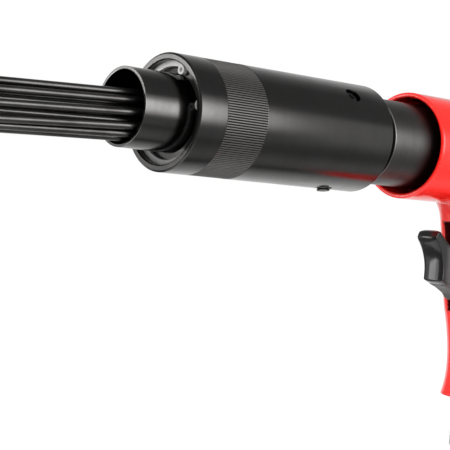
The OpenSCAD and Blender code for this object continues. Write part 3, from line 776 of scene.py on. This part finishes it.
def housing():
    """Needle housing with its knurl, counterbored screw holes and machined front rim."""
    seat = BARREL_R + SEAT_GAP
    land, bore_chamfer = 0.12, 0.5
    rim_back, rim_in = 0.7, 0.8
    band_rear, band_front = KNURL_REAR + KNURL_RUNOUT, KNURL_FRONT - KNURL_RUNOUT
    groove_front, groove_rear = CLIP_FRONT + CLIP_GAP, CLIP_REAR - CLIP_GAP
    sleeve = turned("housing", [
        (HOUSE_REAR, seat, 0.3), (HOUSE_REAR, HOUSE_R, 0.3),
        (KNURL_REAR - land, HOUSE_R, 0), (KNURL_REAR, HOUSE_R, 0),
        (band_rear, KNURL_R, 0), (band_rear + KNURL_RUNOUT, KNURL_R, 0),
        (band_front - KNURL_RUNOUT, KNURL_R, 0), (band_front, KNURL_R, 0),
        (KNURL_FRONT, HOUSE_R, 0), (KNURL_FRONT + land, HOUSE_R, 0),
        (HOUSE_FRONT - rim_back, HOUSE_R, 0.3), (HOUSE_FRONT, HOUSE_R - rim_in, 0.15),
        (HOUSE_FRONT, HOUSE_BORE + bore_chamfer, 0.1), (HOUSE_FRONT - bore_chamfer, HOUSE_BORE, 0.1),
        (groove_front, HOUSE_BORE, 0), (groove_front, CLIP_GROOVE_R, 0),
        (groove_rear, CLIP_GROOVE_R, 0), (groove_rear, HOUSE_BORE, 0),
        (BARREL_FRONT, HOUSE_BORE, 0), (BARREL_FRONT, seat, 0)], steps=4 * KNURL_TEETH)
    knurl(sleeve, band_rear, band_front)
    hole_low, hole_top = HOUSE_BORE - 3, HOUSE_R + 2
    step, thread_r, wide_r = HOUSE_R - 1.6, SCREW_R + SEAT_GAP, SCREW_R + 0.8
    for angle, _ in SCREW_PLACES:
        hole = turned_tool([(hole_low, 0), (hole_low, thread_r), (step, thread_r), (step, wide_r),
                            (hole_top, wide_r), (hole_top, 0)])
        combine(sleeve, bake_place(hole, at_screw(angle)), "DIFFERENCE")
    return hand_in(sleeve, "tool_body", "needle_housing", HOUSING_STEEL)


def set_screws():
    """Three socket set screws with a chamfered, threaded end."""
    pitch, thread, point = 1.0, 0.45, 0.6
    socket_r, socket_depth = 1.74, 3
    low = BARREL_R - 2
    screws = []
    for angle, stands_out in SCREW_PLACES:
        top = HOUSE_R + stands_out
        outline = [(low, 0), (low, SCREW_R - point), (low + point, SCREW_R)]
        level = low + 1
        while level + pitch < top - 0.2:
            outline += [(level, SCREW_R), (level + 0.5 * pitch, SCREW_R - thread)]
            level += pitch
        outline += [(top - thread, SCREW_R), (top, SCREW_R - thread), (top, 0)]
        screw = turned_tool(outline)
        socket = rod_tool("socket", (0, 0, top), socket_r, 2 * socket_depth, vertices=6)
        combine(screw, socket, "DIFFERENCE")
        soften(screw, 0.06, 2, 40)
        screws.append(bake_place(screw, at_screw(angle)))
    joined = join(screws)
    joined.name = joined.data.name = "socket_screws"
    return hand_in(joined, "tool_body", "set_screws", SCREW_STEEL)


def nose_tube():
    """Front tube with its rolled mouth and the flange that the circlip holds."""
    flange_front = CLIP_REAR - CLIP_GAP
    flange_rear = flange_front - FLANGE_LEN
    return hand_in(turned("nose_tube", [
        (TUBE_REAR, TUBE_BORE, 0.2), (TUBE_REAR, TUBE_R, 0.2), (flange_rear, TUBE_R, 0),
        (flange_rear, FLANGE_R, 0.3), (flange_front, FLANGE_R, 0.3), (flange_front, TUBE_R, 0.3),
        (TUBE_MOUTH, TUBE_R, 0.22), (TUBE_MOUTH, TUBE_BORE, 0.22)], steps=160),
        "front_tube", "front_tube", TUBE_STEEL)


def retaining_ring():
    """Internal circlip: a sprung flat ring with an eyed lug at each end."""
    outer, inner = 22.2, 18.8
    lug_at, lug_r, eye_r = 18.1, 1.9, 0.95
    lugs = (9, 71)
    start = math.radians(lugs[0])
    sweep = math.radians(360 - lugs[1] + lugs[0])
    middle = (CLIP_REAR + CLIP_FRONT) / 2
    flat = [(CLIP_REAR, inner), (CLIP_REAR, outer), (CLIP_FRONT, outer), (CLIP_FRONT, inner)]
    points = [Vector((x, r * math.cos(start), AXIS_Z + r * math.sin(start))) * MM for x, r in flat]
    ring = edge_line("retaining_ring", points, closed=True)
    bpy.ops.mesh.spin(steps=120, angle=sweep, center=(0, 0, AXIS_Z * MM), axis=(1, 0, 0))
    close_edit()
    tidy_mesh(ring)
    for angle in lugs:
        a = math.radians(angle)
        at = (middle, lug_at * math.cos(a), AXIS_Z + lug_at * math.sin(a))
        combine(ring, rod_tool("lug", at, lug_r, CLIP_FRONT - CLIP_REAR, ALONG_X, 48), "UNION")
        combine(ring, rod_tool("eye", at, eye_r, 6, ALONG_X, 32), "DIFFERENCE")
    soften(ring, 0.18, 3, 50)
    return hand_in(ring, "tool_body", "front_circlip", RING_STEEL)


# Needles

NEEDLES = 19
NEEDLE_LEN = 180
NEEDLE_R = 1.5
HEAD_LEN = 3
HEAD_R = 2.1


def needle_axis(k):
    """The way a needle points, from its joint in the frame."""
    name = "needle_%02d_slide" % k
    joint = next(j for j in frame["joints"] if j["name"] == name)
    return Vector(joint["axis"]).normalized()


def needles():
    """One needle is turned, then copied along each needle's own axis, each copy turned on by some more."""
    blank = turned("needle_blank", [
        (0, 0, 0), (0, HEAD_R, 0.4), (HEAD_LEN - 0.5, HEAD_R, 0.3), (HEAD_LEN, NEEDLE_R, 0.2),
        (NEEDLE_LEN, NEEDLE_R, 0.3), (NEEDLE_LEN, 0, 0)], "Z", 40, False)
    spin_step = 0.7
    for k in range(1, NEEDLES + 1):
        node = "needle_%02d" % k
        low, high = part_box(node)
        axis = needle_axis(k)
        tail = (low + high) / 2 - axis * NEEDLE_LEN / 2 * MM
        only(blank)
        bpy.ops.object.duplicate()
        rod = bpy.context.object
        rod.name = rod.data.name = "needle_rod_%02d" % k
        turn = Vector((0, 0, 1)).rotation_difference(axis).to_matrix().to_4x4()
        bake_place(rod, Matrix.Translation(tail) @ turn @ Matrix.Rotation(spin_step * k, 4, "Z"))
        hand_in(rod, node, node, NEEDLE_STEEL)
    bpy.data.objects.remove(blank)


# Trigger

# Side outline of the pad and of the web under it: x, height over the throttle line, rounding
HORN = [(34.5, 11.6, 3), (42.9, 18.8, 1.6), (45.2, 18.0, 1.4), (46.6, 15.2, 1.3)]
LIP = [(39.95, -5.7, 1.5), (36, -7.4, 1.5)]
WEB = [(34.5, -3, 0), (36.6, -7.4, 1.2), (31.8, -9.0, 3), (26.4, -11.7, 3), (23.2, -14.7, 2)]
WEB_LOW = -15
# The finger's hollow is an arc: centre, radius, and its first and last angle in degrees
SADDLE_CENTRE = (61.5, -1.75)
SADDLE_R = 21.7
SADDLE_SPAN = (136.5, 184)
SADDLE_STEPS = 16
RIM_ROUND = 0.45


def saddle_points():
    """The finger's hollow, from the horn down to the lip."""
    start, stop = SADDLE_SPAN
    angles = [math.radians(start + (stop - start) * k / SADDLE_STEPS) for k in range(SADDLE_STEPS + 1)]
    return [(SADDLE_CENTRE[0] + SADDLE_R * math.cos(a), SADDLE_CENTRE[1] + SADDLE_R * math.sin(a), 0)
            for a in angles]


def moulded_slab(name, outline, width, fall, reach):
    """A slab with a side outline, crowned across: on each side its skin falls off by `fall` over the outer
    `reach` of the width. It is left in edit mode with its two sides selected."""
    core = width - 2 * reach
    points = [Vector((x, -core / 2, STEM_Z + height)) * MM for x, height in eased(outline)]
    slab = edge_line(name, points, closed=True)
    bpy.ops.mesh.extrude_region_move(TRANSFORM_OT_translate={"value": (0, core * MM, 0)})
    close_edit()
    tidy_mesh(slab)
    open_edit(slab)
    choose_faces(slab, lambda normal: abs(normal.y) > 0.9)
    last = 60
    inset_arc(range(0, last + 1, 10), fall / (1 - math.cos(math.radians(last))),
              reach / math.sin(math.radians(last)))
    return slab


def finger_trigger():
    """Moulded trigger: crowned pad with a horn, rounded rims and recessed sides, over a slightly narrower
    web."""
    rear = TRIGGER_REAR
    rim_angles = (25, 38, 51, 64, 77, 90)
    rim = RIM_ROUND * (1 - math.sin(math.radians(rim_angles[0])))
    land, recess_slope, recess = 0.1, 0.15, 0.4
    web_w = TRIGGER_W - 1.6
    pad_outline = [(rear, HORN[0][1], 0)] + HORN + saddle_points() + LIP + [(rear, LIP[-1][1], 0)]
    pad = moulded_slab("finger_trigger", pad_outline, TRIGGER_W - 2 * rim, fall=0.6, reach=4.2)
    inset_arc(rim_angles, RIM_ROUND, RIM_ROUND)
    bpy.ops.mesh.inset(thickness=land * MM, depth=0)
    bpy.ops.mesh.inset(thickness=recess_slope * MM, depth=-recess * MM)
    close_edit()
    web_outline = [(rear, WEB[0][1], 0)] + WEB + [(rear, WEB_LOW, 0)]
    web = moulded_slab("web", web_outline, web_w, fall=0.5, reach=2)
    close_edit()
    combine(pad, web, "UNION")
    return hand_in(pad, "trigger", "trigger", PLASTIC, 40)


def cross_pin():
    """Pin through the grip and the trigger, with domed ends."""
    dome = 0.4
    return hand_in(turned("cross_pin", [
        (-PIN_REACH, 0, 0), (-PIN_REACH, PIN_R, dome), (PIN_REACH, PIN_R, dome), (PIN_REACH, 0, 0)],
        "Y", 40, False), "tool_body", "trigger_pin", BRIGHT_STEEL)


# Air inlet


def inlet_bore():
    """Outline of the fitting's bore from the top down: strainer seat, passage and pipe thread."""
    strainer_r, strainer_floor, passage_r = 6.2, 15, 4.2
    core, deep, pitch, thread = 5.7225, 13, 1.337, 0.75
    undercut, lowest, mouth = 1.5, 1.2, 1.0
    bore = [(FITTING_TOP, strainer_r, 0.2), (strainer_floor, strainer_r, 0), (strainer_floor, passage_r, 0),
            (deep, passage_r, 0), (deep, core, 0)]
    level = deep - undercut
    while level - pitch > lowest:
        bore += [(level, core, 0), (level - 0.5 * pitch, core + thread, 0)]
        level -= pitch
    return bore + [(mouth, core, 0), (0, core + mouth, 0)]


def inlet_fitting():
    """Plated inlet bushing: hexagon collar, plain neck and a pipe thread inside."""
    across, collar, neck_r, inside = 22, 14, 10.5, 9
    chamfer, chamfer_len, proud = 1.3, 0.9, 0.1
    body = turned("inlet_fitting", inlet_bore() + [
        (0, inside, 0.2), (collar, inside, 0), (collar, neck_r, 0.3), (WASHER_LOW, neck_r, 0.4),
        (WASHER_LOW, PLUG_R, 0), (FITTING_TOP, PLUG_R, 0.4)], "Z", 96)
    reach = across / 2 / math.cos(math.pi / 6)
    nut = rod_tool("nut", (0, 0, collar / 2), reach, collar, vertices=6)
    round_off = turned("round_off", [
        (0, 0, 0), (0, reach - chamfer, 0), (chamfer_len, reach + proud, 0),
        (collar - chamfer_len, reach + proud, 0), (collar, reach - chamfer, 0), (collar, 0, 0)],
        "Z", 96, False)
    combine(nut, round_off, "INTERSECT")
    combine(nut, rod_tool("core", (0, 0, collar / 2), inside - 0.5, 40, vertices=96), "DIFFERENCE")
    combine(body, nut, "UNION")
    return hand_in(body, "tool_body", "inlet_bushing", PLATED_STEEL, 30)


def inlet_seal():
    """Sealing washer squeezed a little round at its rim."""
    inner, outer = 9.6, 10.3
    return hand_in(turned("inlet_seal", [
        (WASHER_LOW, inner, 0.2), (WASHER_LOW, outer, 0.5), (WASHER_HIGH, outer, 0.5),
        (WASHER_HIGH, inner, 0.2)], "Z", 96), "tool_body", "inlet_washer", RUBBER)


# Springs


def wound_spring(name, node, height, wire, turns, first, last):
    """A coil of round wire, or a length of one, whose middle line runs from first to last."""
    outer = ends(node, Y)[1]
    bpy.ops.object.select_all(action="DESELECT")
    bpy.ops.mesh.primitive_circle_add(vertices=16, radius=wire / 2 * MM, location=(0, 0, 0))
    spring = begin(name)
    bpy.ops.transform.rotate(value=math.pi / 2, orient_axis="X", center_override=(0, 0, 0))
    bpy.ops.transform.translate(value=(first * MM, 0, (outer - wire / 2) * MM))
    close_edit()
    apply_modifier(spring, "SCREW", axis="X", angle=2 * math.pi, iterations=turns, steps=36,
                   render_steps=36, screw_offset=(last - first) / turns * MM, use_merge_vertices=False)
    open_edit(spring)
    bpy.ops.mesh.remove_doubles(threshold=MERGE * MM)
    bpy.ops.mesh.select_all(action="DESELECT")
    bpy.ops.mesh.select_mode(type="EDGE")
    bpy.ops.mesh.select_non_manifold()
    bpy.ops.mesh.fill_holes(sides=0)
    bpy.ops.mesh.select_all(action="SELECT")
    bpy.ops.mesh.normals_make_consistent(inside=False)
    close_edit()
    bake_place(spring, Matrix.Translation((0, 0, height * MM)))
    return hand_in(spring, "tool_body", node, SPRING_STEEL)


def squeeze(spring, travel, still, moving):
    """Gives a spring a mesh of its own; the share of its length that would stay over the travel is worked
    out, but nothing uses it.
    """
    keep = 1 - travel / abs(moving - still)
    still * MM
    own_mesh(spring)


def return_coil():
    """Return spring in two lengths, split a third of the way along, each with a mesh of its own."""
    rear, front = ends("return_spring", X)
    wire = 2.6
    first, last = rear + wire / 2, front - wire / 2
    split = first + (last - first) / 3
    rear_coil = wound_spring("return_coil_rear", "return_spring", AXIS_Z, wire, 2, first, split)
    squeeze(rear_coil, ANVIL_TRAVEL, split, rear)
    front_coil = wound_spring("return_coil_front", "return_spring", AXIS_Z, wire, 4, split, last)
    squeeze(front_coil, TUBE_TRAVEL, split, front)


def throttle_coil():
    """Small spring behind the throttle ball."""
    rear, front = ends("throttle_spring", X)
    wire = 0.8
    first, last = rear + wire / 2, front - wire / 2
    coil = wound_spring("throttle_coil", "throttle_spring", STEM_Z, wire, 4, first, last)
    squeeze(coil, TRIGGER_TRAVEL, rear, front)


red_casting()
barrel_sleeve()
housing()
set_screws()
nose_tube()
retaining_ring()
needles()
finger_trigger()
cross_pin()
inlet_fitting()
inlet_seal()
return_coil()
throttle_coil()

# Camera, at the place and with the lens that fit the photograph

PHOTO_SIDE = 450
FOCAL_PIXELS = 1357.42
SENSOR = 36
CAMERA_AT = Vector((544.36, 425.06, 99.82)) * MM
CAMERA_AZIMUTH = math.radians(-131.0765)
CAMERA_ELEVATION = math.radians(0.1696)
CAMERA_ROLL = math.radians(3.9277)


def photo_camera():
    """The scene's camera, aimed by azimuth, elevation and roll."""
    camera = bpy.data.cameras.new("photo_camera")
    camera.sensor_width = SENSOR
    camera.lens = SENSOR * FOCAL_PIXELS / PHOTO_SIDE
    camera.clip_start = 0.01
    holder = bpy.data.objects.new("photo_camera", camera)
    bpy.context.scene.collection.objects.link(holder)
    ahead = Vector((math.cos(CAMERA_AZIMUTH) * math.cos(CAMERA_ELEVATION),
                    math.sin(CAMERA_AZIMUTH) * math.cos(CAMERA_ELEVATION), math.sin(CAMERA_ELEVATION)))
    level = ahead.cross(Vector((0, 0, 1))).normalized()
    upright = level.cross(ahead)
    right = level * math.cos(CAMERA_ROLL) + upright * math.sin(CAMERA_ROLL)
    up = upright * math.cos(CAMERA_ROLL) - level * math.sin(CAMERA_ROLL)
    holder.matrix_world = Matrix.Translation(CAMERA_AT) @ Matrix((right, up, -ahead)).transposed().to_4x4()
    bpy.context.scene.camera = holder


# Light tent: white sweep behind and below, one long soft box on the tool's left, a dark open front

# Light on matt surfaces, how many times as much comes from the front, and where that begins and is full,
# as a direction's x
FILL = 0.9
FRONT_FILL = 2.2
FILL_EDGE = (-0.2, 0.8)
# Brightness seen in reflections, by the angle round the barrel axis: 0 degrees is left, 90 is up
TENT = [
    (-180, 0.90), (-143, 0.92), (-116, 0.65), (-97, 0.06), (-88, 0.30), (-76, 0.36), (-52, 0.18),
    (-38, 0.22), (-15, 0.51), (28, 0.51), (38, 0.18), (90, 0.15), (118, 0.33), (140, 0.55), (180, 0.90)]
# Open front of the tent with two grey walls and two upright lamps, by the angle round the upright axis
DIM = 0.20
FRONT = [
    (-180, DIM), (-138, DIM), (-126, 0.85), (-104, 0.85), (-95, DIM), (-68, DIM), (-61, 0.60), (-49, 0.60),
    (-46, 0.22), (-44, 4.0), (-38.5, 3.2), (-36.5, 0.9), (-34.5, 2.0), (-30.5, 2.0), (-27, DIM), (180, DIM)]
# Foot and top of the walls and lamps, and edge of the pale floor below them, as a direction's z
FRONT_FOOT = (-0.53, -0.44)
FRONT_TOP = (0.22, 0.32)
FLOOR_EDGE = (-0.78, -0.70)
FLOOR_GLOW = 0.8
# Where the white sweep gives way to the open front, as a direction's x
FRONT_EDGE = (-0.5, -0.3)
# Soft box: middle and sides in metres, then its weak and its added strength
CARD_AT = (-0.05, 0.627, 0.085)
CARD_SIDES = (0.9, 1.0, 1.0)
CARD_LOW = 0.3
CARD_LAMP = 3.6
# Where the soft box fades, in millimetres: slanting rear end, foot, and top, which loses a share only
CARD_REAR = (-560, -180)
CARD_SLANT = 0.12
CARD_SLANT_Z = 240
CARD_FOOT = (-110, 190)
CARD_TOP = (300, 520)
CARD_TOP_LOSS = 0.85
# White floor: side in metres, drop below the tool, and share of plain white that the camera sees
FLOOR_SIDE = 12
FLOOR_DROP = 0.2
FLOOR_WHITE = 0.8


def turn_share(tent, rise, run):
    """The angle of a direction, from 0 to 1 for -180 to 180 degrees."""
    return tent.node("ShaderNodeMath", {"operation": "ARCTAN2"}, {0: rise, 1: run}) * (0.5 / math.pi) + 0.5


def ramp(tent, levels, share):
    """Brightness from a list of angles in degrees and levels."""
    stops = [((angle + 180) / 360, level) for angle, level in levels]
    return tent.node("ShaderNodeValToRGB", {"stops": stops}, {"Fac": share})


def light_tent():
    """The world: white to the camera, an even fill on matt surfaces, the tent in reflections."""
    world = bpy.data.worlds.new("light_tent")
    bpy.context.scene.world = world
    tent = Paint("light_tent", world)
    way = tent.node("ShaderNodeTexCoord", out="Generated")
    x, y, z = (tent.node("ShaderNodeSeparateXYZ", None, {"Vector": way}, out=axis) for axis in "XYZ")
    walls = ramp(tent, TENT, turn_share(tent, z, y))
    front = ramp(tent, FRONT, turn_share(tent, y, x))
    upright = z.rise(*FRONT_FOOT) * (1 - z.rise(*FRONT_TOP))
    front = tent.blend(upright, grey(DIM), front)
    front = tent.blend(z.rise(*FLOOR_EDGE), grey(FLOOR_GLOW), front)
    walls = tent.blend(x.rise(*FRONT_EDGE), walls, front)
    mirrored = tent.node("ShaderNodeLightPath", out="Is Glossy Ray")
    seen = tent.node("ShaderNodeLightPath", out="Is Camera Ray")
    fill = tent.blend(x.rise(*FILL_EDGE), grey(FILL), grey(FILL * FRONT_FILL))
    colour = tent.blend(seen, tent.blend(mirrored, fill, walls), grey(1.0))
    tent.feed(tent.tree.nodes["Background"].inputs["Color"], colour)


def stage_plane(name, paint, surface, **place):
    """A flat piece of the stage, with a shader as its surface."""
    bpy.ops.object.select_all(action="DESELECT")
    bpy.ops.mesh.primitive_plane_add(**place)
    plane = bpy.context.object
    plane.name = name
    paint.tree.links.new(surface.socket, paint.tree.nodes["Material Output"].inputs["Surface"])
    plane.data.materials.append(paint.material)
    return plane


def soft_box():
    """Large lamp face at the tool's left, fading towards the tool's rear, the floor and the top."""
    paint = Paint("soft_box")
    x = paint.along("X")
    z = paint.along("Z")
    slant = x + CARD_SLANT * (z - CARD_SLANT_Z)
    glow = slant.rise(*CARD_REAR) * z.rise(*CARD_FOOT) * (1 - CARD_TOP_LOSS * z.rise(*CARD_TOP))
    colour = paint.blend(glow, grey(CARD_LOW), grey(CARD_LOW + CARD_LAMP))
    lamp = paint.node("ShaderNodeEmission", None, {"Color": colour})
    card = stage_plane("soft_box", paint, lamp, size=1, location=CARD_AT, rotation=(math.pi / 2, 0, 0))
    card.scale = CARD_SIDES
    bake_place(card)
    card.visible_camera = False


def pale_floor():
    """White floor under the fitting; the camera sees it nearly white and with the tool's shadow."""
    paint = Paint("pale_floor")
    matt = paint.node("ShaderNodeBsdfDiffuse", None, {"Color": grey(0.9)})
    white = paint.node("ShaderNodeEmission", None, {"Color": grey(1.12)})
    seen = paint.node("ShaderNodeLightPath", out="Is Camera Ray")
    mixed = paint.node("ShaderNodeMixShader", None, {"Fac": FLOOR_WHITE * seen, 1: matt, 2: white})
    floor = stage_plane("floor", paint, mixed, size=FLOOR_SIDE, location=(0, 0, -FLOOR_DROP * MM))
    floor.visible_glossy = False


photo_camera()
light_tent()
soft_box()
pale_floor()

bpy.context.scene.view_settings.view_transform = "Standard"
